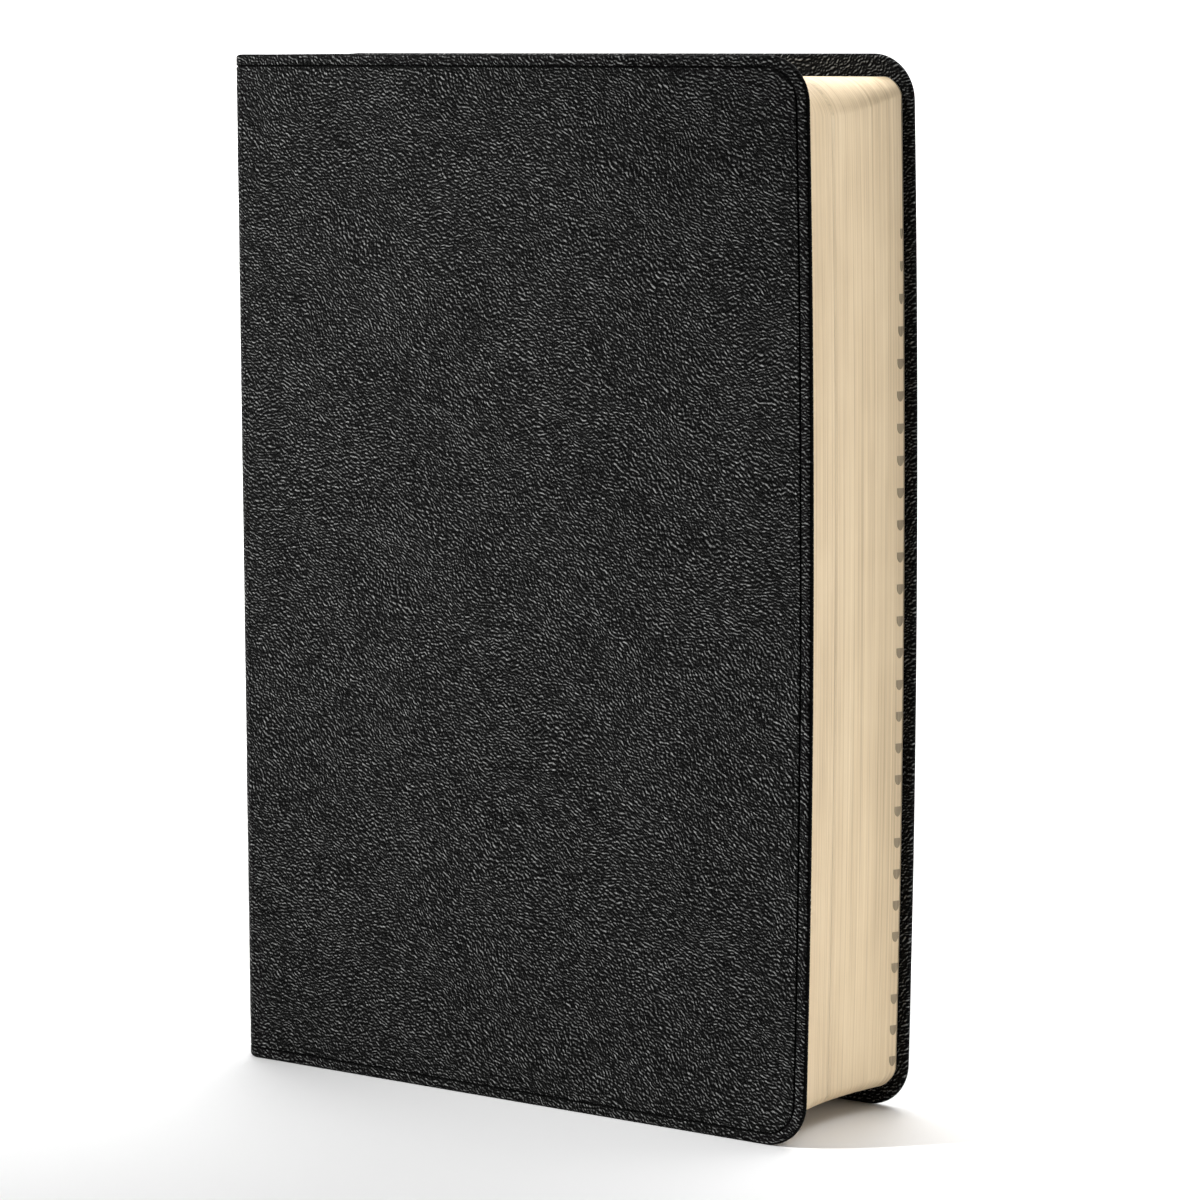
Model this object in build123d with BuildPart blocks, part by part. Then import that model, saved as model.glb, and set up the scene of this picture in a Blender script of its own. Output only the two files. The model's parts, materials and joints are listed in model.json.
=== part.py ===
from build123d import *

import math
import os

# A thick reference bible in a limp leather cover, closed and standing on its tail.
# X runs from the spine to the fore-edge, Y from the front cover to the back cover,
# and Z up along the height. The origin is at the middle of the footprint.
# Millimetres throughout.

# Driving dimensions of the closed book
HEIGHT = 235.0
THICKNESS = 45.0
SHOULDER_WIDTH = 154.0
SPINE_ROUND = 6.0
EDGE_BOW = 1.6
SHOULDER_RADIUS = 3.5
COVER_CORNER_RADIUS = 10.0

# Cover layers, counted inwards from the outer face
LEATHER = 1.0
BOARD = 0.5
PASTEDOWN = 0.3
TURN_IN = 14.0
BOARD_CLEARANCE = 0.05
FLANGE_WIDTH = 20.0
FLANGE = 0.12

# Spine layers, counted inwards from the outer face
SPINE_LINER = 0.5
CAP_HEIGHT = 12.0
KRAFT_LINING = 0.3
MULL = 0.3
THREAD_RADIUS = 0.23

# Text block
HEAD_SQUARE = 5.0
TAIL_SQUARE = 4.4
FORE_EDGE_SQUARE = 2.5
PASTEDOWN_CORNER_RADIUS = 8.0
HEAD_CORNER_MIDDLE = 8.5
HEAD_CORNER_END = 4.0
TAIL_CORNER_MIDDLE = 2.5
TAIL_CORNER_END = 5.0
SECTIONS = 32
FOLD_RADIUS = 0.5
BLOCK_THICKNESS = 40.2
LOOSE_LEAF = 0.2
CENTRE_LEAVES = 3
CENTRE_GAP = 1.0
HEADBAND_RADIUS = 1.0
SEWING_STATIONS = 7

# Joints
JOINT_SETBACK = 5.0
JOINT_GAP = 0.15
OPENING_GAP = 0.05
FLYLEAF_SETBACK = 0.5

FRONT = -1
BACK = 1
SIDE_NAMES = {FRONT: "front", BACK: "back"}

apex_x = -(SPINE_ROUND + SHOULDER_WIDTH + EDGE_BOW) / 2
shoulder_x = apex_x + SPINE_ROUND
hinge_x = shoulder_x + JOINT_SETBACK
edge_x = shoulder_x + SHOULDER_WIDTH
spine_radius = ((THICKNESS / 2) ** 2 + SPINE_ROUND**2) / (2 * SPINE_ROUND)
spine_centre_x = apex_x + spine_radius
cover_thickness = LEATHER + BOARD + PASTEDOWN
fold_depth = LEATHER + SPINE_LINER + KRAFT_LINING + MULL + 2 * THREAD_RADIUS + 0.04
leaf_bottom = TAIL_SQUARE
leaf_top = HEIGHT - HEAD_SQUARE
leaf_edge_x = edge_x - FORE_EDGE_SQUARE


def fold_x(y):
    """Where a fold lies against the rounded spine at a distance y from the middle."""
    return spine_centre_x - math.sqrt((spine_radius - fold_depth) ** 2 - y**2)


leaf_width = leaf_edge_x - fold_x(BLOCK_THICKNESS / 2)


def face_plane(side, depth):
    """Plane parallel to a cover, at a depth under its outer face."""
    return Plane.XZ.offset(-side * (THICKNESS / 2 - depth))


def leaf_plane(y):
    """Plane parallel to the leaves at a given y."""
    return Plane.XZ.offset(-y)


def leaf_corners(y):
    """Tail and head corner radii of a leaf: they change through the trimmed stack."""
    middle = 1 - (y / (BLOCK_THICKNESS / 2)) ** 2
    tail = TAIL_CORNER_END + (TAIL_CORNER_MIDDLE - TAIL_CORNER_END) * middle
    head = HEAD_CORNER_END + (HEAD_CORNER_MIDDLE - HEAD_CORNER_END) * middle
    return tail, head


def panel(left, right, bottom, top, corner_radii):
    """Upright panel whose free edge is rounded at both corners and bows gently out."""
    with BuildSketch() as outline:
        with BuildLine():
            Polyline((right, bottom), (left, bottom), (left, top), (right, top))
            ThreePointArc(
                (right, top), (right + EDGE_BOW, (bottom + top) / 2), (right, bottom)
            )
        make_face()
        for height, radius in zip((bottom, top), corner_radii):
            fillet(outline.vertices().sort_by_distance((right, height))[0], radius=radius)
    return outline.sketch


def book_outline(depth):
    """Cross-section of the closed book, inset from its outer face by a depth."""
    half = THICKNESS / 2 - depth
    radius = spine_radius - depth
    corner_x = spine_centre_x - math.sqrt(radius**2 - half**2)
    with BuildSketch() as outline:
        with BuildLine():
            ThreePointArc((corner_x, half), (apex_x + depth, 0), (corner_x, -half))
            Polyline((corner_x, -half), (0, -half), (0, half), (corner_x, half))
        make_face()
        fillet(
            outline.vertices().group_by(Axis.X)[0],
            radius=max(SHOULDER_RADIUS - depth, 0.4),
        )
    return outline.sketch


def spine_band(side, outer_depth, inner_depth, end_x):
    """Curved strip between two depths, from the opening line round to end_x."""
    half_height = THICKNESS / 2 - OPENING_GAP
    with BuildSketch() as band:
        add(book_outline(outer_depth))
        add(book_outline(inner_depth), mode=Mode.SUBTRACT)
        with Locations(((apex_x + end_x) / 2, side * (OPENING_GAP + half_height / 2))):
            Rectangle(end_x - apex_x, half_height, mode=Mode.INTERSECT)
    return band.sketch


def finish(part, name):
    """Label a piece and write its file."""
    part.label = name
    export_step(part, f"parts/{name}.step")


def make_cover(side):
    """One limp cover: turned-in leather, its board, the mull flange and the pastedown."""
    name = SIDE_NAMES[side]
    left = hinge_x + JOINT_GAP

    with BuildPart() as leather:
        with BuildSketch(face_plane(side, 0)):
            add(panel(left, edge_x, 0, HEIGHT, (COVER_CORNER_RADIUS,) * 2))
        extrude(amount=side * cover_thickness)
        with BuildSketch(face_plane(side, LEATHER)):
            add(
                panel(
                    left - LEATHER,
                    edge_x - LEATHER,
                    LEATHER,
                    HEIGHT - LEATHER,
                    (COVER_CORNER_RADIUS - LEATHER,) * 2,
                )
            )
        extrude(amount=side * BOARD, mode=Mode.SUBTRACT)
        with BuildSketch(face_plane(side, LEATHER + BOARD)):
            add(
                panel(
                    left - TURN_IN,
                    edge_x - TURN_IN,
                    TURN_IN,
                    HEIGHT - TURN_IN,
                    (PASTEDOWN_CORNER_RADIUS,) * 2,
                )
            )
        extrude(amount=side * PASTEDOWN, mode=Mode.SUBTRACT)
    finish(leather.part, f"{name}_cover_leather")

    with BuildPart() as board:
        with BuildSketch(face_plane(side, LEATHER)):
            add(
                panel(
                    left + JOINT_SETBACK,
                    edge_x - LEATHER - BOARD_CLEARANCE,
                    LEATHER + BOARD_CLEARANCE,
                    HEIGHT - LEATHER - BOARD_CLEARANCE,
                    (COVER_CORNER_RADIUS - LEATHER,) * 2,
                )
            )
        extrude(amount=side * BOARD)
    finish(board.part, f"{name}_cover_board")

    flange_left = left + JOINT_GAP
    with BuildPart() as flange:
        with BuildSketch(face_plane(side, LEATHER + BOARD)):
            with Locations((flange_left + FLANGE_WIDTH / 2, HEIGHT / 2)):
                Rectangle(FLANGE_WIDTH, HEIGHT - 2 * TURN_IN - 4)
        extrude(amount=side * FLANGE)
    finish(flange.part, f"{name}_mull_flange")

    with BuildPart() as pastedown:
        with BuildSketch(face_plane(side, LEATHER + BOARD)):
            add(
                panel(
                    left,
                    edge_x - TURN_IN - BOARD_CLEARANCE,
                    TURN_IN + BOARD_CLEARANCE,
                    HEIGHT - TURN_IN - BOARD_CLEARANCE,
                    (PASTEDOWN_CORNER_RADIUS,) * 2,
                )
            )
        extrude(amount=side * PASTEDOWN)
        add(flange.part, mode=Mode.SUBTRACT)
    finish(pastedown.part, f"{name}_pastedown")


def make_spine(side):
    """One side of the spine: leather with turned caps, liner, kraft lining and mull."""
    name = SIDE_NAMES[side]
    leather_end = hinge_x - JOINT_GAP

    with BuildPart() as leather:
        with BuildSketch():
            add(spine_band(side, 0, LEATHER, leather_end))
        extrude(amount=HEIGHT)
        for cap_bottom in (0, HEIGHT - CAP_HEIGHT):
            with BuildSketch(Plane.XY.offset(cap_bottom)):
                add(spine_band(side, LEATHER, LEATHER + SPINE_LINER, shoulder_x))
            extrude(amount=CAP_HEIGHT)
    finish(leather.part, f"spine_leather_{name}")

    with BuildPart() as liner:
        with BuildSketch(Plane.XY.offset(CAP_HEIGHT + BOARD_CLEARANCE)):
            add(spine_band(side, LEATHER, LEATHER + SPINE_LINER, shoulder_x))
        extrude(amount=HEIGHT - 2 * (CAP_HEIGHT + BOARD_CLEARANCE))
    finish(liner.part, f"spine_liner_{name}")

    kraft_depth = LEATHER + SPINE_LINER
    with BuildPart() as lining:
        with BuildSketch(Plane.XY.offset(leaf_bottom)):
            add(spine_band(side, kraft_depth, kraft_depth + KRAFT_LINING, shoulder_x))
        extrude(amount=leaf_top - leaf_bottom)
    finish(lining.part, f"kraft_lining_{name}")

    mull_depth = kraft_depth + KRAFT_LINING
    with BuildPart() as mull:
        with BuildSketch(Plane.XY.offset(TURN_IN)):
            add(spine_band(side, mull_depth, mull_depth + MULL, shoulder_x))
        extrude(amount=HEIGHT - 2 * TURN_IN)
    finish(mull.part, f"mull_{name}")


def spine_ring(side, radius, depth, height, end_y):
    """Round strand that follows the rounded spine, from the opening line to end_y."""
    path_radius = spine_radius - depth
    start = math.degrees(OPENING_GAP / path_radius)
    sweep_angle = math.degrees(math.asin(end_y / path_radius)) - start
    start_plane = Plane(
        origin=(spine_centre_x, 0, height), x_dir=(-1, 0, 0), z_dir=(0, 1, 0)
    ).rotated((0, 0, -side * start))
    axis = Axis((spine_centre_x, 0, 0), (0, 0, -side))
    with BuildPart() as ring:
        with BuildSketch(start_plane):
            with Locations((path_radius, 0)):
                Circle(radius)
        revolve(axis=axis, revolution_arc=sweep_angle)
    return ring.part


def make_sewing(side):
    """Thread spans that link the folds of one half of the block at each station."""
    depth = fold_depth - 0.02 - THREAD_RADIUS
    first = leaf_bottom + 12
    pitch = (leaf_top - leaf_bottom - 24) / (SEWING_STATIONS - 1)
    with BuildPart() as sewing:
        for station in range(SEWING_STATIONS):
            height = first + pitch * station
            add(spine_ring(side, THREAD_RADIUS, depth, height, BLOCK_THICKNESS / 2 - 1.5))
    finish(sewing.part, f"sewing_thread_{SIDE_NAMES[side]}")


def make_headbands(side):
    """Corded headbands that sit on the folds at the head and at the tail."""
    depth = LEATHER + SPINE_LINER + KRAFT_LINING + HEADBAND_RADIUS + 0.1
    heights = {"head": leaf_top + HEADBAND_RADIUS, "tail": leaf_bottom - HEADBAND_RADIUS}
    for end, height in heights.items():
        band = spine_ring(side, HEADBAND_RADIUS, depth, height, BLOCK_THICKNESS / 2 - 2)
        finish(band, f"{end}band_{SIDE_NAMES[side]}")


def make_sections():
    """Folded sections, each set against the rounded spine so the fore-edge is hollow."""
    per_half = SECTIONS // 2
    pitch = (BLOCK_THICKNESS - CENTRE_GAP) / SECTIONS
    for number in range(SECTIONS):
        in_back_half = number >= per_half
        start_y = -BLOCK_THICKNESS / 2 + pitch * number + CENTRE_GAP * in_back_half
        outer_y = max(abs(start_y), abs(start_y + pitch))
        left = fold_x(outer_y)
        with BuildPart() as section:
            with BuildSketch(leaf_plane(start_y)):
                add(
                    panel(
                        left,
                        left + leaf_width,
                        leaf_bottom,
                        leaf_top,
                        leaf_corners(start_y + pitch / 2),
                    )
                )
            extrude(amount=-pitch)
            fillet(
                section.edges().filter_by(Axis.Z).group_by(Axis.X)[0], radius=FOLD_RADIUS
            )
        finish(section.part, f"section_{number + 1:02d}")


def make_loose_leaf(name, left, right, start_y):
    """A leaf that turns on its own."""
    with BuildPart() as leaf:
        with BuildSketch(leaf_plane(start_y)):
            add(panel(left, right, leaf_bottom, leaf_top, leaf_corners(start_y)))
        extrude(amount=-LOOSE_LEAF)
    finish(leaf.part, name)


def make_leaves():
    """The two flyleaves, and the leaves that fan where the book opens in the middle."""
    flyleaf_gap = 0.15
    flyleaf_y = BLOCK_THICKNESS / 2 + flyleaf_gap
    left = hinge_x + FLYLEAF_SETBACK
    make_loose_leaf("front_flyleaf", left, leaf_edge_x, -flyleaf_y - LOOSE_LEAF)
    make_loose_leaf("back_flyleaf", left, leaf_edge_x, flyleaf_y)

    left = fold_x(CENTRE_GAP / 2)
    pitch = 0.3
    for number in range(CENTRE_LEAVES):
        middle_y = pitch * (number - (CENTRE_LEAVES - 1) / 2)
        name = f"centre_leaf_{number + 1}"
        make_loose_leaf(name, left, left + leaf_width, middle_y - LOOSE_LEAF / 2)


os.makedirs("parts", exist_ok=True)
for side in (FRONT, BACK):
    make_cover(side)
    make_spine(side)
    make_sewing(side)
    make_headbands(side)
make_sections()
make_leaves()
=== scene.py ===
import json
import math

import bmesh
import bpy
import numpy as np
from mathutils import Matrix, Vector


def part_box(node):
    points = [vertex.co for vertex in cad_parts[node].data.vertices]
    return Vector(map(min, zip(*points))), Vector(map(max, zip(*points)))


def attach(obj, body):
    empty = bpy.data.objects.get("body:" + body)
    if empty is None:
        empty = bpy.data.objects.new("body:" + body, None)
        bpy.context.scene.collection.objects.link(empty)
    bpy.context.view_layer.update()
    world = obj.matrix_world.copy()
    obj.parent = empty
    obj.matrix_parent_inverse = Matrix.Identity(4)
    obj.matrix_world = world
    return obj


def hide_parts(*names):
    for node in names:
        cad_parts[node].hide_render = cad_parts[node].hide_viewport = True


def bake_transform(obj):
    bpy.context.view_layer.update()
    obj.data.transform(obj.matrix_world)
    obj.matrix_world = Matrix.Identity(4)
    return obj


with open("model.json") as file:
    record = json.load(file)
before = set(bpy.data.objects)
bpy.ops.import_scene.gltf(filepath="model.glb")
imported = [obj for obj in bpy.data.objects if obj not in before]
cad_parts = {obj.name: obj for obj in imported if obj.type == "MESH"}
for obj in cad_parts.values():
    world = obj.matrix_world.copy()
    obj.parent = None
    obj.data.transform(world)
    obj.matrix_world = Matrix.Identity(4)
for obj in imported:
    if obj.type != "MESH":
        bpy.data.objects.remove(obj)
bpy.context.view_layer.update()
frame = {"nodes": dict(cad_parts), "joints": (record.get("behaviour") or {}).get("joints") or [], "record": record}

# Lengths are millimetres until a mesh is made. X runs from the spine to the fore-edge,
# Y from the front cover to the back cover and Z from the tail to the head.
MM = 0.001
FRONT = -1
BACK = 1
SIDES = {FRONT: "front", BACK: "back"}
BLOCK_BODY = {FRONT: "front_block", BACK: "rear_block"}


def box_mm(node):
    """Lowest and highest corner of a CAD node in millimetres."""
    low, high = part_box(node)
    return np.array(low) / MM, np.array(high) / MM


def joint_mm(name):
    """A point on a joint's axis in millimetres."""
    joint = next(j for j in frame["joints"] if j["name"] == name)
    return np.array(joint["pos_m"]) / MM


# Sizes read from the frame
COVER_LOW, COVER_HIGH = box_mm("front_cover_leather")
BLOCK_LOW, BLOCK_HIGH = box_mm("section_01")
HEIGHT = COVER_HIGH[2]
HALF_THICKNESS = -COVER_LOW[1]
COVER = COVER_HIGH[1] - COVER_LOW[1]
APEX_X = box_mm("spine_leather_front")[0][0]
HINGE_X = joint_mm("front_cover_hinge")[0]
BLOCK_HALF = -BLOCK_LOW[1]
CENTRE_HALF_GAP = -box_mm("section_16")[1][1]

# Shape of the binding
SPINE_ROUND = 6.0
EDGE_BOW = 1.6
SHOULDER_RADIUS = 3.5
COVER_CORNER = 10.0
PASTEDOWN_CORNER = 8.0
HEAD_CORNER = (4.0, 8.5)
TAIL_CORNER = (5.0, 2.5)
LEAF_CORNER_FLAT = 0.09
SPINE_LEATHER = 1.0
CAP_TURN_IN = 0.5
CAP_HEIGHT = 12.0
CAP_DIP = 0.15
TURN_IN = 14.0
PASTEDOWN_BED = 0.25
FOLD_DEPTH = 2.6
EDGE_X = COVER_HIGH[0] - EDGE_BOW
SPINE_RADIUS = (HALF_THICKNESS**2 + SPINE_ROUND**2) / (2 * SPINE_ROUND)
SPINE_CENTRE_X = APEX_X + SPINE_RADIUS
LEAF_WIDTH = BLOCK_HIGH[0] - EDGE_BOW - BLOCK_LOW[0]

# Tooling: distance in from the edge, depth and half width of each blind line
TOOL_LINES = ((2.6, 0.3, 0.18), (3.95, 0.06, 0.25))
# Painted shade in the leather's colour along the tooled line and over the rolled edge: distance in from the edge
# and width
PAINTED_SHADE_LINES = ((TOOL_LINES[0][0], 0.3), (0.0, 0.4))
# Where the leather's mesh is finer: distance in from the edge and reach
TURN_IN_STEP = 0.15
FINE_MARKS = [(centre, width) for centre, _, width in TOOL_LINES] + [(TURN_IN, TURN_IN_STEP)]

# How far the leather bends to each side of a hinge, and the spacing of its mesh
BEND = 2.5
GRID = 1.0
# The inner faces lie this far aside in the flat layout, so that no line is drawn on them
INNER_LAYOUT = 1000.0
# Spacing of the leaf edges that are modelled, and of the sections
LEAF_PITCH = 0.2
SECTION_PITCH = (BLOCK_HALF - CENTRE_HALF_GAP) / 16


def smooth(value, low, high):
    """Smooth step from 0 at low to 1 at high."""
    t = np.clip((np.asarray(value, float) - low) / (high - low), 0, 1)
    return t * t * (3 - 2 * t)


def ripple(u, v, wavelength, amount, seed):
    """Soft uneven relief: a few plane waves of seeded directions and phases."""
    waves = np.random.default_rng(seed)
    total = np.zeros(np.broadcast(u, v).shape)
    for _ in range(9):
        heading = waves.uniform(0, math.pi)
        length = wavelength * waves.uniform(0.7, 1.5)
        phase = waves.uniform(0, 2 * math.pi)
        total += np.sin(
            2 * math.pi * (u * math.cos(heading) + v * math.sin(heading)) / length + phase
        )
    return amount * total / 3


def bow(z):
    """How far a fore-edge stands out at a height."""
    return EDGE_BOW * (1 - ((z - HEIGHT / 2) / (HEIGHT / 2)) ** 2)


def fold_x(y):
    """Where a leaf's fold lies against the rounded spine."""
    return SPINE_CENTRE_X - np.sqrt((SPINE_RADIUS - FOLD_DEPTH) ** 2 - np.square(y))


# ---------------------------------------------------------------- mesh helpers


def grid_faces(rows, columns, start=0, wrap=False):
    """Quads of a grid of vertices stored row by row."""
    last = columns if wrap else columns - 1
    i, j = np.meshgrid(np.arange(rows - 1), np.arange(last), indexing="ij")
    following = (j + 1) % columns
    corners = (
        i * columns + j,
        i * columns + following,
        (i + 1) * columns + following,
        (i + 1) * columns + j,
    )
    return (np.stack(corners, axis=-1).reshape(-1, 4) + start).tolist()


def grid_rim(rows, columns):
    """Vertex numbers once round the outside of a grid, back to the first."""
    rim = list(range(columns)) + [r * columns + columns - 1 for r in range(1, rows)]
    rim += [(rows - 1) * columns + c for c in range(columns - 2, -1, -1)]
    return rim + [r * columns for r in range(rows - 2, -1, -1)]


def strip_faces(first, second):
    """Quads between two equally long rows of vertex numbers."""
    return [
        [first[k], first[k + 1], second[k + 1], second[k]] for k in range(len(first) - 1)
    ]


def make_piece(name, points, faces, uv, materials, picks=None):
    """Closed smooth mesh from points in millimetres, with a flat coordinate for each."""
    mesh = bpy.data.meshes.new(name)
    mesh.from_pydata((np.asarray(points) * MM).tolist(), [], faces)
    layer = mesh.uv_layers.new(name="grain")
    loops = np.zeros(len(mesh.loops), np.int32)
    mesh.loops.foreach_get("vertex_index", loops)
    layer.data.foreach_set("uv", np.asarray(uv, np.float32)[loops].ravel())
    for material in materials:
        mesh.materials.append(material)
    if picks is not None:
        mesh.polygons.foreach_set("material_index", picks)
    body = bmesh.new()
    body.from_mesh(mesh)
    bmesh.ops.remove_doubles(body, verts=body.verts, dist=1e-7)
    bmesh.ops.dissolve_degenerate(body, edges=body.edges, dist=1e-8)
    bmesh.ops.recalc_face_normals(body, faces=body.faces)
    body.to_mesh(mesh)
    body.free()
    mesh.shade_smooth()
    piece = bpy.data.objects.new(name, mesh)
    bpy.context.scene.collection.objects.link(piece)
    return piece


def thin_out(values, gap):
    """Sorted values with any that crowd the one before left out."""
    kept = [values[0]]
    for value in values[1:]:
        if value - kept[-1] >= gap:
            kept.append(value)
    return kept


def edge_distances(limit, marks, radius, step):
    """Distances in from an edge: close over the rolled edge and the marks, then even."""
    rolled = radius * (1 - np.cos(np.linspace(0, math.pi / 2, 7)))
    close = [c + w * k for c, w in marks for k in np.linspace(-2, 2, 9)]
    even = np.arange(radius + step / 2, limit, step)
    inner = sorted(v for v in [*close, *even] if rolled[-1] + 0.05 < v < limit)
    return np.array([*rolled, *thin_out(inner, 0.05)])


def leaf_corners(y):
    """Tail and head corner radii of a leaf, which change through the trimmed stack."""
    middle = 1 - (np.asarray(y) / BLOCK_HALF) ** 2
    return [end + (mid - end) * middle for end, mid in (TAIL_CORNER, HEAD_CORNER)]


def corner_curve(turn, flat):
    """A rounded corner of radius 1 from -90 to 0 degrees, with its middle pressed flatter:
    height above the edge below it, and distance back from the edge beside it."""
    pressed = -flat * np.sin(2 * turn) * math.sqrt(0.5)
    return 1 + np.sin(turn) + pressed, 1 - np.cos(turn) + pressed


def corner_cut(level, radius, flat):
    """How far a row ends short of the free edge, at a distance from the head or tail."""
    rise, back = corner_curve(np.linspace(-math.pi / 2, 0, 61), flat)
    return radius * np.interp(level / radius, rise, back)


def edge_inset(x, z, right, bottom, top, corners):
    """Distance in from the outline of a panel whose free corners are rounded."""
    level = np.minimum(z - bottom, top - z)
    radius = np.where(2 * z < bottom + top, *corners)
    inset = np.minimum(level, right - x)
    in_corner = (level < radius) & (x > right - radius)
    reach = radius - np.hypot(x - (right - radius), radius - level)
    return np.maximum(np.where(in_corner, reach, inset), 0)


def panel_grid(left, right, bottom, top, corners, columns, rows, flat=0.0):
    """Grid over a panel with rounded free corners. columns and rows are distances from its
    edges, and each row ends on the outline."""
    z = np.concatenate([bottom + rows, (top - rows)[::-1]])
    level = np.minimum(z - bottom, top - z)
    radius = np.where(2 * z < bottom + top, *corners)
    end = right - corner_cut(level, radius, flat)
    share = 1 - columns[::-1] / (right - left)
    x = left + (end - left)[:, None] * share[None, :]
    z = np.broadcast_to(z[:, None], x.shape).copy()
    return x, z, edge_inset(x, z, right, bottom, top, corners)


def rolled(inset, thickness):
    """Depth that a rolled edge takes off both faces of a sheet near its rim."""
    half = thickness / 2
    run = np.clip(half - inset, 0, half)
    return half - np.sqrt(half**2 - run**2)


def tooled(inset):
    """Depth of the blind lines."""
    return sum(d * np.exp(-(((inset - c) / w) ** 2)) for c, d, w in TOOL_LINES)


# ---------------------------------------------------------------- materials


class Nodes:
    """Short way to build one material's node tree."""

    def __init__(self, name):
        self.material = bpy.data.materials.new(name)
        self.material.use_nodes = True
        self.tree = self.material.node_tree
        self.shader = self.tree.nodes["Principled BSDF"]

    def add(self, kind, settings=None, **inputs):
        """A node, its settings and its inputs by name; a socket is linked, a value is set."""
        node = self.tree.nodes.new(kind)
        for key, value in (settings or {}).items():
            setattr(node, key, value)
        for key, value in inputs.items():
            self.plug(node, key.replace("_", " "), value)
        return node

    def plug(self, node, key, value):
        socket = node.inputs[int(key)] if key.isdigit() else node.inputs[key]
        if isinstance(value, bpy.types.NodeSocket):
            self.tree.links.new(value, socket)
        else:
            socket.default_value = value

    def plugs(self, node, values):
        for number, value in enumerate(values):
            if value is not None:
                self.plug(node, str(number), value)
        return node

    def math(self, operation, *values):
        node = self.add("ShaderNodeMath", {"operation": operation})
        return self.plugs(node, values).outputs[0]

    def vector(self, operation, *values):
        node = self.add("ShaderNodeVectorMath", {"operation": operation})
        return self.plugs(node, values).outputs[0]

    def uv(self):
        return self.add("ShaderNodeUVMap", {"uv_map": "grain"}).outputs[0]

    def place(self, vector, scale=(1, 1, 1), angle=0.0):
        """Coordinates turned by an angle and then scaled."""
        turned = self.add(
            "ShaderNodeVectorRotate", {"rotation_type": "Z_AXIS"}, Vector=vector, Angle=angle
        )
        node = self.add("ShaderNodeMapping", {"vector_type": "POINT"})
        self.plug(node, "Vector", turned.outputs[0])
        self.plug(node, "Scale", scale)
        return node.outputs[0]

    def noise(self, vector, scale, detail=2.0, roughness=0.5, distortion=0.0):
        node = self.add("ShaderNodeTexNoise", {"noise_dimensions": "3D"}, Vector=vector)
        self.plug(node, "Scale", scale)
        self.plug(node, "Detail", detail)
        self.plug(node, "Roughness", roughness)
        self.plug(node, "Distortion", distortion)
        return node.outputs[0]

    def ramp(self, factor, stops):
        node = self.add("ShaderNodeValToRGB", None, Fac=factor)
        elements = node.color_ramp.elements
        while len(elements) < len(stops):
            elements.new(0.5)
        for element, (position, colour) in zip(elements, stops):
            element.position = position
            element.color = (*colour, 1)
        return node.outputs[0]

    def range(self, value, low, high, new_low, new_high):
        node = self.add("ShaderNodeMapRange", {"clamp": True})
        return self.plugs(node, (value, low, high, new_low, new_high)).outputs[0]

    def bump(self, height, strength, distance):
        node = self.add("ShaderNodeBump", None, Height=height)
        node.inputs["Strength"].default_value = strength
        node.inputs["Distance"].default_value = distance
        return node.outputs[0]

    def surface(self, colour=None, roughness=None, normal=None, **fixed):
        for key, value in (("Base Color", colour), ("Roughness", roughness), ("Normal", normal)):
            if value is not None:
                self.plug(self.shader, key, value)
        for key, value in fixed.items():
            self.shader.inputs[key.replace("_", " ")].default_value = value
        return self.material


def wrinkles(n, uv, scale, evenness, lean):
    """Short pressed ridges that lie across a leaning direction, about one to the millimetre."""
    node = n.add("ShaderNodeTexGabor", {"gabor_type": "2D"}, Vector=uv)
    n.plugs(node, (None, scale, 1.3, evenness, lean))
    return node.outputs[0]


def skin_inset(n, uv):
    """Distance in from the nearest free edge of the skin laid out flat, in millimetres."""
    middle = spine.seam_x - spine.length[-1] / 2
    square = (EDGE_X - middle - COVER_CORNER, HEIGHT / 2 - COVER_CORNER, 0)
    centred = n.vector("SUBTRACT", uv, (middle, HEIGHT / 2, 0))
    beyond = n.vector("SUBTRACT", n.vector("ABSOLUTE", centred), square)
    corner = n.add("ShaderNodeVectorMath", {"operation": "LENGTH"})
    n.plugs(corner, (n.vector("MAXIMUM", beyond, (0, 0, 0)),))
    parts = n.add("ShaderNodeSeparateXYZ")
    n.plugs(parts, (beyond,))
    straight = n.math("MAXIMUM", parts.outputs[0], parts.outputs[1])
    outside = n.math("ADD", corner.outputs["Value"], n.math("MINIMUM", straight, 0.0))
    return n.math("SUBTRACT", COVER_CORNER, outside)


def leather_grain(n, uv):
    """Diagonal ridges, bent and turned by slow noise, with finer ones among them."""
    wander = n.add("ShaderNodeTexNoise", {"noise_dimensions": "3D"}, Vector=uv, Scale=0.06)
    flow = n.vector("MULTIPLY_ADD", wander.outputs[1], (5.0, 5.0, 0.0), uv)
    lean = n.range(n.noise(uv, 0.018, 1.0), 0.4, 0.6, math.radians(50), math.radians(76))
    ridges = wrinkles(n, flow, 0.93, 0.64, lean)
    pebbles = wrinkles(n, flow, 1.5, 0.4, lean)
    return n.math("ADD", n.math("MULTIPLY", ridges, 0.75), n.math("MULTIPLY", pebbles, 0.25))


def leather_shade(n, uv):
    """Slow random changes of tone, with painted shade darkening the colour along the tooled border line and over
    the rolled edge.
    """
    shade = n.range(n.noise(uv, 0.045, 2.0, 0.5), 0.3, 0.7, -0.006, 0.006)
    inset = skin_inset(n, uv)
    # Painted shade: the colour is darkened along the tooled line and over the rolled edge.
    for centre, width in PAINTED_SHADE_LINES:
        away = n.math("ABSOLUTE", n.math("SUBTRACT", inset, centre))
        shade = n.math("ADD", shade, n.range(away, width / 2, width, -0.2, 0.0))
    return shade


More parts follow.
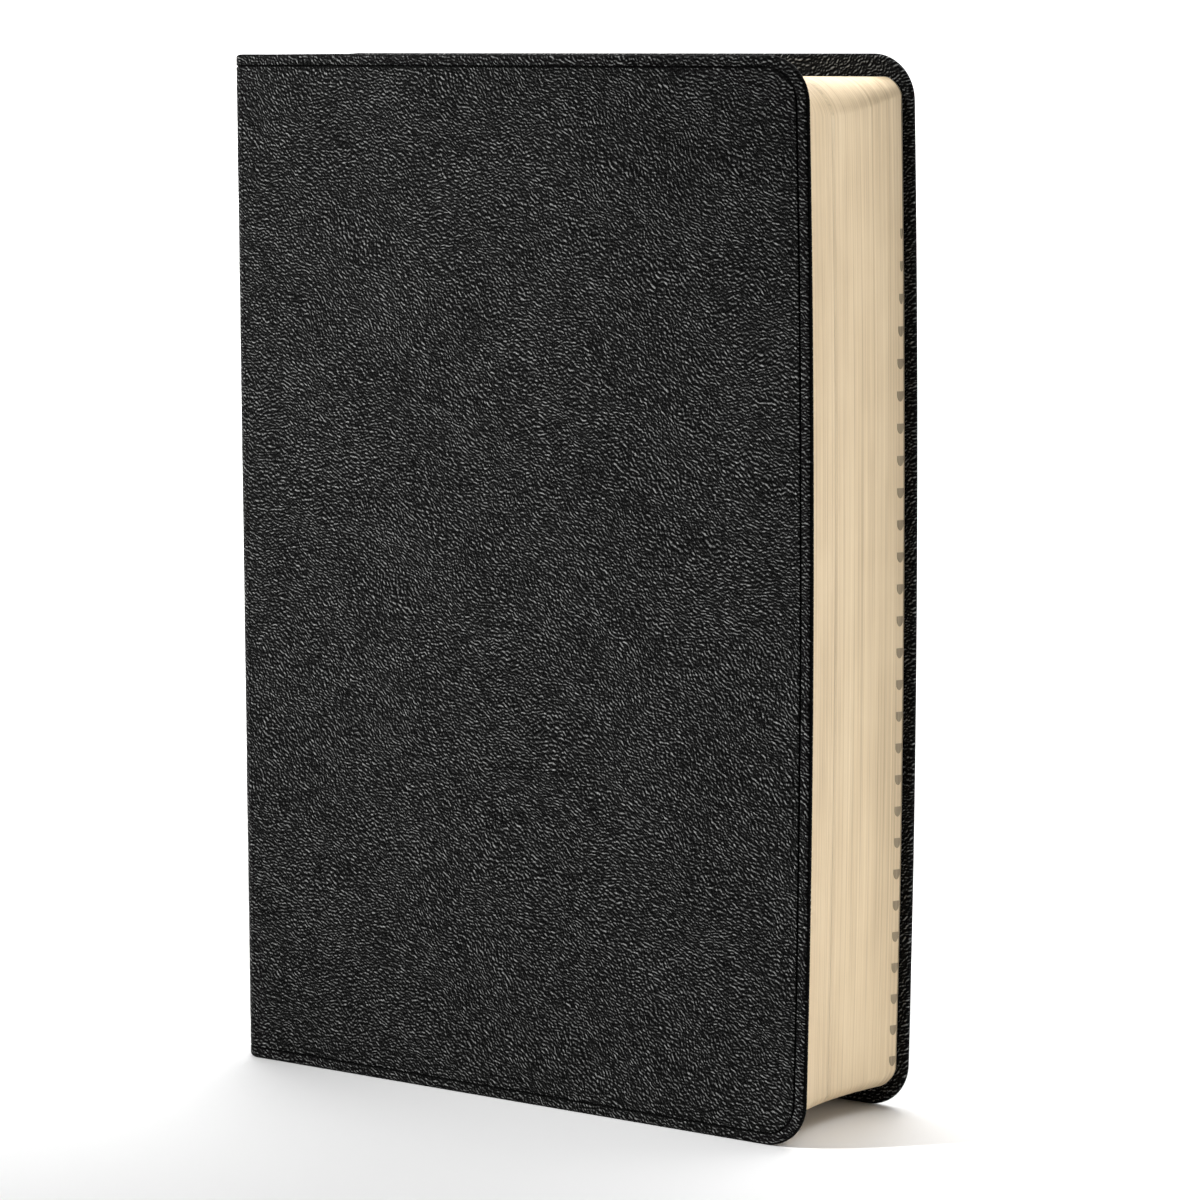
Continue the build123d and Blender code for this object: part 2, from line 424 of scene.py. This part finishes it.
def leather_material():
    """Black pressed leather with a few creases. Its colour carries painted shade, near black in the hollows and
    creases, and painted highlights, pale on the ridge tops where the grain would glint.
    """
    n = Nodes("grained_leather")
    uv = n.uv()
    grain = leather_grain(n, uv)
    fine = n.noise(uv, 4.0, 2.0, 0.6)
    crease = n.noise(n.place(uv, (0.11, 0.3, 1), math.radians(40)), 1.0, 3.0, 0.6, 1.2)
    crease = n.range(n.math("ABSOLUTE", n.math("SUBTRACT", crease, 0.5)), 0.0, 0.015, -0.1, 0.0)
    height = n.math("ADD", grain, n.math("MULTIPLY", fine, 0.12))
    height = n.math("ADD", height, crease)
    # Painted shade and highlight: the colour runs from near black in the hollows and creases to pale grey on the
    # ridge tops, standing in for the grain's glints.
    colour = n.ramp(
        n.math("ADD", height, leather_shade(n, uv)),
        ((0.51, (0.0006, 0.0006, 0.0006)), (0.61, (0.0105, 0.0105, 0.0103)),
         (0.81, (0.25, 0.253, 0.247))),
    )
    rough = n.range(grain, 0.4, 0.8, 0.6, 0.3)
    normal = n.bump(height, 1.0, 0.0005)
    return n.surface(colour, rough, normal, Specular_IOR_Level=0.025)


def gilt_material():
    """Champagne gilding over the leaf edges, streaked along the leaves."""
    n = Nodes("gilt_edge")
    uv = n.uv()
    streak = n.noise(n.place(uv, (2.3, 0.006, 1)), 1.0, 3.0, 0.7)
    broad = n.noise(n.place(uv, (0.6, 0.012, 1)), 1.0, 2.0, 0.5)
    cloud = n.noise(n.place(uv, (0.09, 0.035, 1)), 1.0, 2.0, 0.5)
    tone = n.math("ADD", n.math("MULTIPLY", streak, 0.6), n.math("MULTIPLY", broad, 0.2))
    tone = n.math("ADD", tone, n.math("MULTIPLY", cloud, 0.2))
    colour = n.ramp(
        tone, ((0.32, (0.56, 0.425, 0.265)), (0.5, (0.78, 0.615, 0.40)),
               (0.68, (0.92, 0.755, 0.52)))
    )
    rough = n.range(streak, 0.3, 0.7, 0.52, 0.38)
    normal = n.bump(streak, 0.4, 0.00015)
    return n.surface(colour, rough, normal, Metallic=0.2, Specular_IOR_Level=0.45)


def paper_material(name, low, high, relief):
    """Uncoated paper with faint cloudiness and fibre."""
    n = Nodes(name)
    uv = n.uv()
    cloud = n.noise(uv, 0.06, 3.0, 0.55)
    fibre = n.noise(n.place(uv, (3.0, 6.0, 1), 0.3), 1.0, 3.0, 0.6)
    tone = n.math("ADD", n.math("MULTIPLY", cloud, 0.6), n.math("MULTIPLY", fibre, 0.4))
    colour = n.ramp(tone, ((0.35, low), (0.65, high)))
    normal = n.bump(fibre, 0.25, relief)
    rough = n.range(fibre, 0.3, 0.7, 0.82, 0.68)
    return n.surface(colour, rough, normal, Specular_IOR_Level=0.3)


def ink_material():
    """Flat tan ink of the edge marks, streaked along the leaves."""
    n = Nodes("edge_mark_ink")
    uv = n.uv()
    streak = n.noise(n.place(uv, (4.2, 0.05, 1)), 1.0, 3.0, 0.6)
    colour = n.ramp(streak, ((0.3, (0.30, 0.235, 0.15)), (0.7, (0.43, 0.345, 0.225))))
    rough = n.range(streak, 0.3, 0.7, 0.7, 0.5)
    return n.surface(colour, rough, n.bump(streak, 0.3, 0.0001), Metallic=0.15)


def thread_material(name, dark, light, pitch):
    """Wound silk or waxed thread, with turns across its length."""
    n = Nodes(name)
    uv = n.uv()
    turns = n.add(
        "ShaderNodeTexWave",
        {"wave_type": "BANDS", "bands_direction": "X"},
        Vector=uv,
        Scale=0.314 / pitch,
        Distortion=0.4,
        Detail=1.0,
    ).outputs[1]
    lint = n.noise(uv, 6.0, 2.0)
    colour = n.ramp(n.math("ADD", n.math("MULTIPLY", turns, 0.8), n.math("MULTIPLY", lint, 0.2)),
                    ((0.2, dark), (0.8, light)))
    rough = n.range(lint, 0.3, 0.7, 0.6, 0.42)
    return n.surface(colour, rough, n.bump(turns, 0.5, 0.00015))


def fibre_material(name, low, high, scale, stretch, relief):
    """Card, kraft paper, gauze and linen inside the binding, by solid coordinates."""
    n = Nodes(name)
    solid = n.add("ShaderNodeTexCoord").outputs["Object"]
    fibre = n.noise(n.place(solid, stretch), scale, 4.0, 0.65)
    colour = n.ramp(fibre, ((0.35, low), (0.65, high)))
    rough = n.range(fibre, 0.3, 0.7, 0.95, 0.75)
    return n.surface(colour, rough, n.bump(fibre, 0.4, relief))


def floor_material():
    """Pale matt studio floor with the faintest unevenness."""
    n = Nodes("studio_floor")
    solid = n.add("ShaderNodeTexCoord").outputs["Object"]
    haze = n.noise(solid, 1.5, 2.0)
    colour = n.ramp(haze, ((0.3, (0.86, 0.86, 0.86)), (0.7, (0.88, 0.88, 0.88))))
    rough = n.range(haze, 0.3, 0.7, 0.8, 0.7)
    return n.surface(colour, rough)


# ---------------------------------------------------------------- leather skin


class SpineCurve:
    """Outer line of the spine from the front seam to the back seam, seen from above."""

    def __init__(self):
        radius = SPINE_RADIUS - SHOULDER_RADIUS
        level = HALF_THICKNESS - SHOULDER_RADIUS
        self.seam_x = SPINE_CENTRE_X - math.sqrt(radius**2 - level**2)
        turn = math.atan2(level, SPINE_CENTRE_X - self.seam_x)
        fillet = np.linspace(math.pi / 2, turn, 9)
        arc = np.linspace(turn, 0, 31)[1:]
        corner = np.stack(
            [
                self.seam_x - SHOULDER_RADIUS * np.cos(fillet),
                -level - SHOULDER_RADIUS * np.sin(fillet),
            ],
            axis=1,
        )
        back = np.stack(
            [SPINE_CENTRE_X - SPINE_RADIUS * np.cos(arc), -SPINE_RADIUS * np.sin(arc)], axis=1
        )
        half = np.concatenate([corner, back])
        angles = np.concatenate([fillet, arc])
        self.points = np.concatenate([half, half[-2::-1] * (1, -1)])
        angles = np.concatenate([angles, -angles[-2::-1]])
        self.inward = np.stack([np.cos(angles), np.sin(angles)], axis=1)
        steps = np.linalg.norm(np.diff(self.points, axis=0), axis=1)
        self.length = np.concatenate([[0], np.cumsum(steps)])


spine = SpineCurve()


def skin_rows():
    """Distances of the skin's rows from the head and from the tail."""
    return edge_distances(HEIGHT / 2, FINE_MARKS, COVER / 2, GRID)


def spine_thickness(z):
    """Spine leather, thicker where it is turned in at its head and tail."""
    level = np.minimum(z, HEIGHT - z)
    return SPINE_LEATHER + CAP_TURN_IN * smooth(level, CAP_HEIGHT + 1, CAP_HEIGHT - 1)


def cover_skin(side, leather):
    """One cover's skin, from the seam at the shoulder to the turned fore-edge."""
    seam = spine.seam_x
    width = EDGE_X - seam
    near_joint = np.arange(width - 3 * BEND, width + 1e-6, 0.25)
    far = edge_distances(width - 3 * BEND - 0.1, FINE_MARKS, COVER / 2, GRID)
    columns = np.concatenate([far, near_joint[:-1], [width]])
    corners = (COVER_CORNER, COVER_CORNER)
    x, z, inset = panel_grid(seam, EDGE_X, 0, HEIGHT, corners, columns, skin_rows())
    reach = smooth(x, HINGE_X - BEND, HINGE_X + BEND)
    thickness = spine_thickness(z) * (1 - reach) + COVER * reach
    roll = rolled(inset, thickness)
    calm = smooth(inset, 0.5, 9) * smooth(x, seam + 2, seam + 14)
    relief = ripple(x, z, 55, 0.16, 3 + side) + ripple(x, z, 17, 0.05, 8 + side)
    relief += ripple(x, z, 5.5, 0.022, 21 + side)
    outer = roll + tooled(inset) + calm * (relief + 0.05)
    window = smooth(inset, TURN_IN - TURN_IN_STEP, TURN_IN + TURN_IN_STEP) * reach
    inner = thickness - roll - window * PASTEDOWN_BED
    wide = x + bow(z) * smooth(x, 0, EDGE_X)
    points = [
        np.stack([wide, side * (HALF_THICKNESS - depth), z], axis=-1).reshape(-1, 3)
        for depth in (outer, inner)
    ]
    rows, cols = x.shape
    start = rows * cols
    left_outer = [r * cols for r in range(rows)]
    left_inner = [start + r * cols for r in range(rows)]
    faces = grid_faces(rows, cols) + grid_faces(rows, cols, start)
    faces += strip_faces(left_outer, left_inner)
    along = x if side == FRONT else 2 * seam - spine.length[-1] - x
    uv = np.stack([along, z], axis=-1).reshape(-1, 2)
    piece = make_piece(
        f"{SIDES[side]}_cover_skin",
        np.concatenate(points),
        faces,
        np.concatenate([uv, uv + (INNER_LAYOUT, 0)]),
        [leather],
    )
    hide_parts(f"{SIDES[side]}_cover_leather")
    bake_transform(piece)


def spine_skin(leather):
    """The spine's skin, one sheet from shoulder to shoulder with capped head and tail."""
    rows = skin_rows()
    z = np.concatenate([rows, (HEIGHT - rows)[::-1]])[:, None]
    inset = np.minimum(z, HEIGHT - z)
    thickness = spine_thickness(z)
    run = spine.length[None, :]
    from_seam = np.minimum(run, spine.length[-1] - run)
    dip = CAP_DIP * smooth(from_seam, 0, 1.2 * SHOULDER_RADIUS)
    level = HEIGHT / 2 + (z - HEIGHT / 2) * (1 - dip / (HEIGHT / 2))
    roll = rolled(inset, thickness)
    calm = smooth(inset, 0.5, 9) * smooth(from_seam, 0.5, 6)
    relief = ripple(run, z, 17, 0.05, 31) + ripple(run, z, 5.5, 0.022, 32)
    depths = (roll + tooled(inset) + calm * (relief + 0.05), thickness - roll)
    points = []
    for depth in depths:
        flat = spine.points[None] + spine.inward[None] * (depth + 0 * run)[..., None]
        points.append(np.concatenate([flat, level[..., None]], axis=-1).reshape(-1, 3))
    count, cols = level.shape
    start = count * cols
    faces = grid_faces(count, cols) + grid_faces(count, cols, start)
    for column in (0, cols - 1):
        ends = [r * cols + column for r in range(count)]
        faces += strip_faces(ends, [start + e for e in ends])
    uv = np.stack(np.broadcast_arrays(spine.seam_x - run, z), axis=-1).reshape(-1, 2)
    piece = make_piece(
        "spine_skin",
        np.concatenate(points),
        faces,
        np.concatenate([uv, uv + (INNER_LAYOUT, 0)]),
        [leather],
    )
    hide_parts("spine_leather_front", "spine_leather_back")
    blend_spine(piece)


def blend_spine(piece):
    """A piece of the spine, with its placing baked into its mesh."""
    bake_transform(piece)


# ---------------------------------------------------------------- text block


def leaf_loop(tail_corner, head_corner):
    """Once round a leaf from its fold at the tail: place and outward direction."""
    bottom, top = BLOCK_LOW[2], BLOCK_HIGH[2]
    halves = []
    for corner in (tail_corner, head_corner):
        centre = LEAF_WIDTH - corner
        flat = np.linspace(0, centre, 50)[:-1]
        turn = np.linspace(-math.pi / 2, 0, 15)
        straight = np.stack([flat, 0 * flat, 0 * flat, 0 * flat - 1], 1)
        rise, back = corner_curve(turn, LEAF_CORNER_FLAT)
        across = LEAF_WIDTH - corner * back
        up = corner * rise
        arc = np.stack([across, up, np.cos(turn), np.sin(turn)], 1)
        halves.append(np.concatenate([straight, arc]))
    tail = halves[0] + (0, bottom, 0, 0)
    head = halves[1][::-1] * (1, -1, 1, -1) + (0, top, 0, 0)
    rise = np.linspace(bottom + tail_corner, top - head_corner, 76)[1:-1]
    edge = np.stack([0 * rise + LEAF_WIDTH, rise, 0 * rise + 1, 0 * rise], 1)
    fall = np.linspace(top, bottom, 60)[1:-1]
    spine_side = np.stack([0 * fall, fall, 0 * fall - 1, 0 * fall], 1)
    return np.concatenate([tail, edge, head, spine_side])


def leaf_jitter(columns, run, seed):
    """How far each leaf edge stands out: most are even, a few are set back."""
    leaves = np.random.default_rng(seed)
    base = leaves.normal(0, 0.014, columns)
    base -= 0.05 * (leaves.random(columns) < 0.1)
    waves = leaves.uniform(30, 90, (columns, 1))
    phases = leaves.uniform(0, 6, (columns, 1))
    return base[:, None] + 0.012 * np.sin(run[None, :] / waves + phases)


def text_block(side, gilt, paper):
    """One half of the leaves, with every few leaves standing a hair in or out."""
    count = int(round((BLOCK_HALF - CENTRE_HALF_GAP) / LEAF_PITCH)) + 1
    y = np.linspace(CENTRE_HALF_GAP, BLOCK_HALF, count)
    loops = np.stack([leaf_loop(*leaf_corners(depth)) for depth in y])
    across, up, out_x, out_z = np.moveaxis(loops, 2, 0)
    steps = np.linalg.norm(np.diff(loops[0, :, :2], axis=0), axis=1)
    run = np.concatenate([[0], np.cumsum(steps)])
    within = np.mod(y - CENTRE_HALF_GAP, SECTION_PITCH) / SECTION_PITCH * 2 - 1
    valley = 0.4 * (1 - np.sqrt(np.clip(1 - within**2, 0, 1)))
    out = np.where(out_x < 0, -valley[:, None], leaf_jitter(count, run, 50 + side))
    x = fold_x(y)[:, None] + across + out_x * out
    x += bow(up) * smooth(across, LEAF_WIDTH / 2, LEAF_WIDTH)
    wave = ripple(run[None, :], y[:, None] * 0.15, 60, 0.07, 60)
    hold = np.sin(math.pi * (y - CENTRE_HALF_GAP) / (BLOCK_HALF - CENTRE_HALF_GAP))
    sway = y[:, None] + wave * hold[:, None] * smooth(across, 30, LEAF_WIDTH)
    points = np.stack([x, side * sway, up + out_z * out], axis=-1).reshape(-1, 3)
    columns = len(run)
    faces = grid_faces(count, columns, wrap=True)
    picks = [0] * len(faces)
    last = (count - 1) * columns
    faces += [list(range(columns)), list(range(last, last + columns))]
    picks += [1, 1]
    uv = np.stack(np.broadcast_arrays(side * y[:, None], run[None, :]), axis=-1)
    first = 1 if side == FRONT else 17
    piece = make_piece(
        f"{SIDES[side]}_leaves", points, faces, uv.reshape(-1, 2), [gilt, paper],
        picks,
    )
    outer_pages(piece)
    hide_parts(*[f"section_{k:02d}" for k in range(first, first + 16)])
    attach(piece, BLOCK_BODY[side])


def outer_pages(piece):
    """Flat shading and an even grain on the two outer pages, and a hard line round them."""
    mesh = piece.data
    grain = mesh.uv_layers["grain"].data
    for polygon in mesh.polygons:
        if polygon.loop_total > 4:
            polygon.use_smooth = False
            for loop in polygon.loop_indices:
                place = mesh.vertices[mesh.loops[loop].vertex_index].co
                grain[loop].uv = (place.x / MM, place.z / MM)
    mesh.set_sharp_from_angle(angle=math.radians(60))


def sheet_piece(name, left, right, low, high, near, far, corners, materials, edge):
    """A thin leaf between two depths in Y, with rounded free corners. A second material
    covers its rim."""
    columns = np.arange(0, right - left - edge, 2.5)
    columns = np.concatenate([columns, np.linspace(right - left - edge, right - left, 24)])
    curved = [c * (1 - np.cos(np.linspace(0, math.pi / 2, 9))) for c in corners]
    rows = [*curved[0], *curved[1], *np.arange(max(corners) + 3, (high - low) / 2, 4)]
    rows = np.array(thin_out(sorted(rows), 0.04))
    flat = LEAF_CORNER_FLAT if len(materials) > 1 else 0.0
    x, z, _ = panel_grid(left, right, low, high, corners, columns, rows, flat)
    wide = x + bow(z) * smooth(x, 0, right)
    rows, cols = x.shape
    points = [np.stack([wide, 0 * x + y, z], -1).reshape(-1, 3) for y in (near, far)]
    start = rows * cols
    rim = grid_rim(rows, cols)
    faces = grid_faces(rows, cols) + grid_faces(rows, cols, start)
    picks = [0] * len(faces)
    faces += strip_faces(rim, [start + r for r in rim])
    picks += [len(materials) - 1] * (len(faces) - len(picks))
    uv = np.stack([x, z], axis=-1).reshape(-1, 2)
    piece = make_piece(
        name, np.concatenate(points), faces, np.concatenate([uv, uv]), materials, picks
    )
    piece.data.set_sharp_from_angle(angle=math.radians(60))
    return piece


def endpapers(side, endpaper, gilt):
    """Pastedown and flyleaf, both running across the joint as the real folded sheet does."""
    name = SIDES[side]
    root = spine.seam_x + 0.2
    face = side * HALF_THICKNESS
    bed = COVER - PASTEDOWN_BED
    pastedown = sheet_piece(
        f"{name}_pastedown_sheet", root, EDGE_X - TURN_IN, TURN_IN, HEIGHT - TURN_IN,
        face - side * (bed + 0.03), face - side * (COVER + 0.06),
        (PASTEDOWN_CORNER, PASTEDOWN_CORNER), [endpaper], 3 * BEND,
    )
    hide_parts(f"{name}_pastedown")
    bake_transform(pastedown)
    low, high = box_mm(f"{name}_flyleaf")
    flyleaf = sheet_piece(
        f"{name}_flyleaf_sheet", root, high[0] - EDGE_BOW, low[2], high[2],
        low[1] + 0.02, high[1] - 0.02, leaf_corners(BLOCK_HALF), [endpaper, gilt],
        5 * BEND,
    )
    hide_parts(f"{name}_flyleaf")
    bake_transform(flyleaf)


def centre_leaves(paper, gilt):
    """Leaves at the middle opening, as flat sheets with gilt rims."""
    for number in (1, 2, 3):
        name = f"centre_leaf_{number}"
        low, high = box_mm(name)
        leaf = sheet_piece(
            f"{name}_sheet", low[0], high[0] - EDGE_BOW, low[2], high[2],
            low[1] - 0.03, high[1] + 0.03, leaf_corners(0), [paper, gilt], 45.0,
        )
        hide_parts(name)
        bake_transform(leaf)


def gutter(paper):
    """Inner fold of the centre section, between the two halves of the leaves."""
    low, high = BLOCK_LOW[2] + 0.3, BLOCK_HIGH[2] - 0.3
    root = fold_x(0) - 0.25
    turn = np.linspace(-math.pi / 2, math.pi / 2, 13)
    reach = CENTRE_HALF_GAP - 0.02
    flat = np.array([[root + 4.0, -1.0], [root + 2.0, -1.0]])
    arc = np.stack([root + 0.35 * (1 - np.cos(turn)), np.sin(turn)], 1)
    line = np.concatenate([flat, arc, flat[::-1] * (1, -1)]) * (1, reach)
    inner = (line - (root + 4, 0)) * (0.985, 0.75) + (root + 4, 0)
    rows = 40
    z = np.linspace(low, high, rows)
    sheets = [
        np.concatenate(
            [np.broadcast_to(path[None], (rows, *path.shape)),
             np.broadcast_to(z[:, None, None], (rows, len(path), 1))], -1
        ).reshape(-1, 3)
        for path in (line, inner)
    ]
    cols = len(line)
    start = rows * cols
    rim = grid_rim(rows, cols)
    faces = grid_faces(rows, cols) + grid_faces(rows, cols, start)
    faces += strip_faces(rim, [start + r for r in rim])
    uv = np.concatenate([s[:, 1:3] for s in sheets])
    piece = make_piece("gutter_fold", np.concatenate(sheets), faces, uv, [paper])
    blend_spine(piece)


def headbands(silk):
    """Wound silk bands over the folds at head and tail."""
    turns = 84
    for end in ("head", "tail"):
        low, high = box_mm(f"{end}band_front")
        level = (low[2] + high[2]) / 2
        radius = (high[2] - low[2]) / 2
        path_radius = SPINE_CENTRE_X - low[0] - radius
        sweep = math.asin(-low[1] / path_radius)
        t = np.linspace(-sweep, sweep, turns * 4 + 1)[:, None]
        around = np.linspace(0, 2 * math.pi, 15)[None, :-1]
        ridge = radius * (0.93 + 0.07 * np.abs(np.sin(np.linspace(0, turns * math.pi, len(t)))))
        reach = path_radius + ridge[:, None] * np.cos(around)
        x = SPINE_CENTRE_X - reach * np.cos(t)
        y = reach * np.sin(t)
        z = level + ridge[:, None] * np.sin(around) + 0 * t
        rows, cols = x.shape
        faces = grid_faces(rows, cols, wrap=True)
        faces += [list(range(cols)), list(range((rows - 1) * cols, rows * cols))]
        points = np.stack([x, y, z], -1).reshape(-1, 3)
        along = path_radius * t + 0 * around
        uv = np.stack([along, radius * around + 0 * t], -1).reshape(-1, 2)
        piece = make_piece(f"{end}band_silk", points, faces, uv, [silk])
        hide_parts(f"{end}band_front", f"{end}band_back")
        blend_spine(piece)


def edge_marks(ink):
    """Column of small printed shields on the last leaves, next to the back cover."""
    count = 27
    pitch = 7.11
    first = 196.0
    width, drop = 1.4, 2.25
    centre_y = BLOCK_HALF - 0.1 - width / 2
    side = [(-1, 0.5), (-1, 0.1), (-0.9, -0.12), (-0.62, -0.32), (-0.28, -0.46), (0, -0.5)]
    shield = np.array(side + [(-a, b) for a, b in side[-2::-1]])
    points, faces, uv = [], [], []
    for number in range(count):
        share = 0.35 + 0.65 * smooth(number, 0, 5)
        y = centre_y + width / 2 * (1 - share) + shield[:, 0] * width / 2 * share
        z = first - pitch * number + shield[:, 1] * drop
        surface = fold_x(y) + LEAF_WIDTH + bow(z)
        start = len(points) * len(shield)
        size = len(shield)
        for proud in (0.09, -0.3):
            points.append(np.stack([surface + proud, y, z], 1))
            uv.append(np.stack([y, z], 1))
        faces.append(list(range(start, start + size)))
        faces.append(list(range(start + size, start + 2 * size)))
        ring = [*range(start, start + size), start]
        faces += strip_faces(ring, [k + size for k in ring])
    piece = make_piece(
        "edge_marks", np.concatenate(points), faces, np.concatenate(uv), [ink]
    )
    piece.data.set_sharp_from_angle(angle=math.radians(40))
    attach(piece, "rear_block")


# ---------------------------------------------------------------- stage


def studio():
    """Pale floor that sweeps up behind the book, soft lights and the camera."""
    sweep(floor_material())
    world = bpy.data.worlds.new("studio")
    bpy.context.scene.world = world
    world.use_nodes = True
    background = world.node_tree.nodes["Background"]
    background.inputs["Color"].default_value = (1, 1, 1, 1)
    background.inputs["Strength"].default_value = 0.12

    middle = Vector((0, 0, HEIGHT / 2)) * MM
    area_light("sweep_softbox", (-0.7, 1.1, 2.1), Vector((-1.7, 2.4, 0.3)), (2.0, 1.6), 70)
    area_light("overhead_softbox", (0.15, 0.55, 1.5), Vector((0.1, 0.3, 0)), (1.6, 1.2), 21)
    area_light("edge_softbox", (1.5, 0.8, 0.3), middle, (2.0, 1.0), 10.5)
    area_light("glint_softbox", (0.62, 1.25, 0.5), middle, (0.35, 0.25), 0.5)
    area_light("front_softbox", (-1.0, -1.2, 0.6), middle, (0.7, 0.7), 0.8)
    grain_spot(middle)

    # The camera stands where the photo's perspective puts it.
    data = bpy.data.cameras.new("camera")
    data.sensor_width = 36
    data.lens = 127.7
    camera = bpy.data.objects.new("camera", data)
    bpy.context.scene.collection.objects.link(camera)
    place_camera(camera, (0.5529, -0.7833, 0.2409), 34.685, 7.666, -0.196)
    bpy.context.scene.camera = camera
    bpy.context.scene.view_settings.view_transform = "Standard"


def sweep(material):
    """Studio sweep: level round the book and rising in a broad curve far behind it."""
    reach = np.linspace(0, math.pi / 2, 25)
    near, far, bend = -5.0, 2.6, 1.2
    line = [(near, 0.0), (far - bend, 0.0)]
    line += [(far - bend + bend * math.sin(a), bend * (1 - math.cos(a))) for a in reach[1:]]
    line.append((far, 5.0))
    corners = [(side, *point) for point in line for side in (-6.0, 6.0)]
    mesh = bpy.data.meshes.new("studio_sweep")
    mesh.from_pydata(corners, [], grid_faces(len(line), 2))
    mesh.materials.append(material)
    mesh.shade_smooth()
    floor = bpy.data.objects.new("studio_sweep", mesh)
    bpy.context.scene.collection.objects.link(floor)
    floor.rotation_euler = (0, 0, math.radians(34.7))


def grain_spot(target):
    """Spot with a soft edge, from the left, which brings out the leather's grain."""
    data = bpy.data.lights.new("grain_spot", "SPOT")
    data.energy = 260
    data.spot_size = math.radians(13)
    data.spot_blend = 1.0
    data.shadow_soft_size = 0.06
    light = bpy.data.objects.new("grain_spot", data)
    bpy.context.scene.collection.objects.link(light)
    light.location = (-1.05, -1.15, 1.0)
    light.rotation_euler = (light.location - target).to_track_quat("Z", "Y").to_euler()


def area_light(name, place, target, size, power):
    """Rectangular soft light aimed at a point."""
    data = bpy.data.lights.new(name, "AREA")
    data.shape = "RECTANGLE"
    data.size, data.size_y = size
    data.energy = power
    light = bpy.data.objects.new(name, data)
    bpy.context.scene.collection.objects.link(light)
    light.location = place
    light.rotation_euler = (Vector(place) - target).to_track_quat("Z", "Y").to_euler()


def place_camera(camera, place, yaw, pitch, roll):
    """Camera turned left by yaw, down by pitch and about its own axis by roll, in degrees."""
    turn = Matrix.Rotation(math.radians(yaw), 4, "Z")
    tilt = Matrix.Rotation(math.radians(90 - pitch), 4, "X")
    spin = Matrix.Rotation(math.radians(roll), 4, "Z")
    camera.matrix_world = Matrix.Translation(place) @ turn @ tilt @ spin


# ---------------------------------------------------------------- assembly

leather = leather_material()
gilt = gilt_material()
paper = paper_material("bible_paper", (0.80, 0.735, 0.60), (0.86, 0.80, 0.68), 0.00003)
endpaper = paper_material("endpaper", (0.012, 0.012, 0.014), (0.022, 0.022, 0.025), 0.00006)
silk = thread_material("headband_silk", (0.30, 0.22, 0.10), (0.72, 0.60, 0.36), 1.0)
thread = fibre_material("linen_thread", (0.62, 0.58, 0.48), (0.8, 0.76, 0.66), 900, (1, 1, 4), 0.0001)
card = fibre_material("card", (0.34, 0.27, 0.18), (0.5, 0.42, 0.3), 300, (1, 1, 1), 0.0001)
kraft = fibre_material("kraft_paper", (0.34, 0.23, 0.13), (0.48, 0.34, 0.2), 250, (1, 1, 3), 0.0001)
gauze = fibre_material("mull_gauze", (0.6, 0.56, 0.48), (0.8, 0.76, 0.68), 700, (1, 1, 1), 0.0002)

for side in SIDES:
    cover_skin(side, leather)
    text_block(side, gilt, paper)
    endpapers(side, endpaper, gilt)
spine_skin(leather)
centre_leaves(paper, gilt)
gutter(paper)
headbands(silk)
edge_marks(ink_material())

hidden_pieces = {
    "board": card,
    "spine_card": card,
    "kraft_paper": kraft,
    "mull": gauze,
    "sewing_thread": thread,
    "cover_leather": leather,
    "headband": silk,
    "endpaper": endpaper,
    "bible_paper": paper,
}
for entry in frame["record"]["subparts"]:
    mesh = frame["nodes"][entry["node"]].data
    mesh.materials.clear()
    mesh.materials.append(hidden_pieces[entry["material_slot"]])

studio()
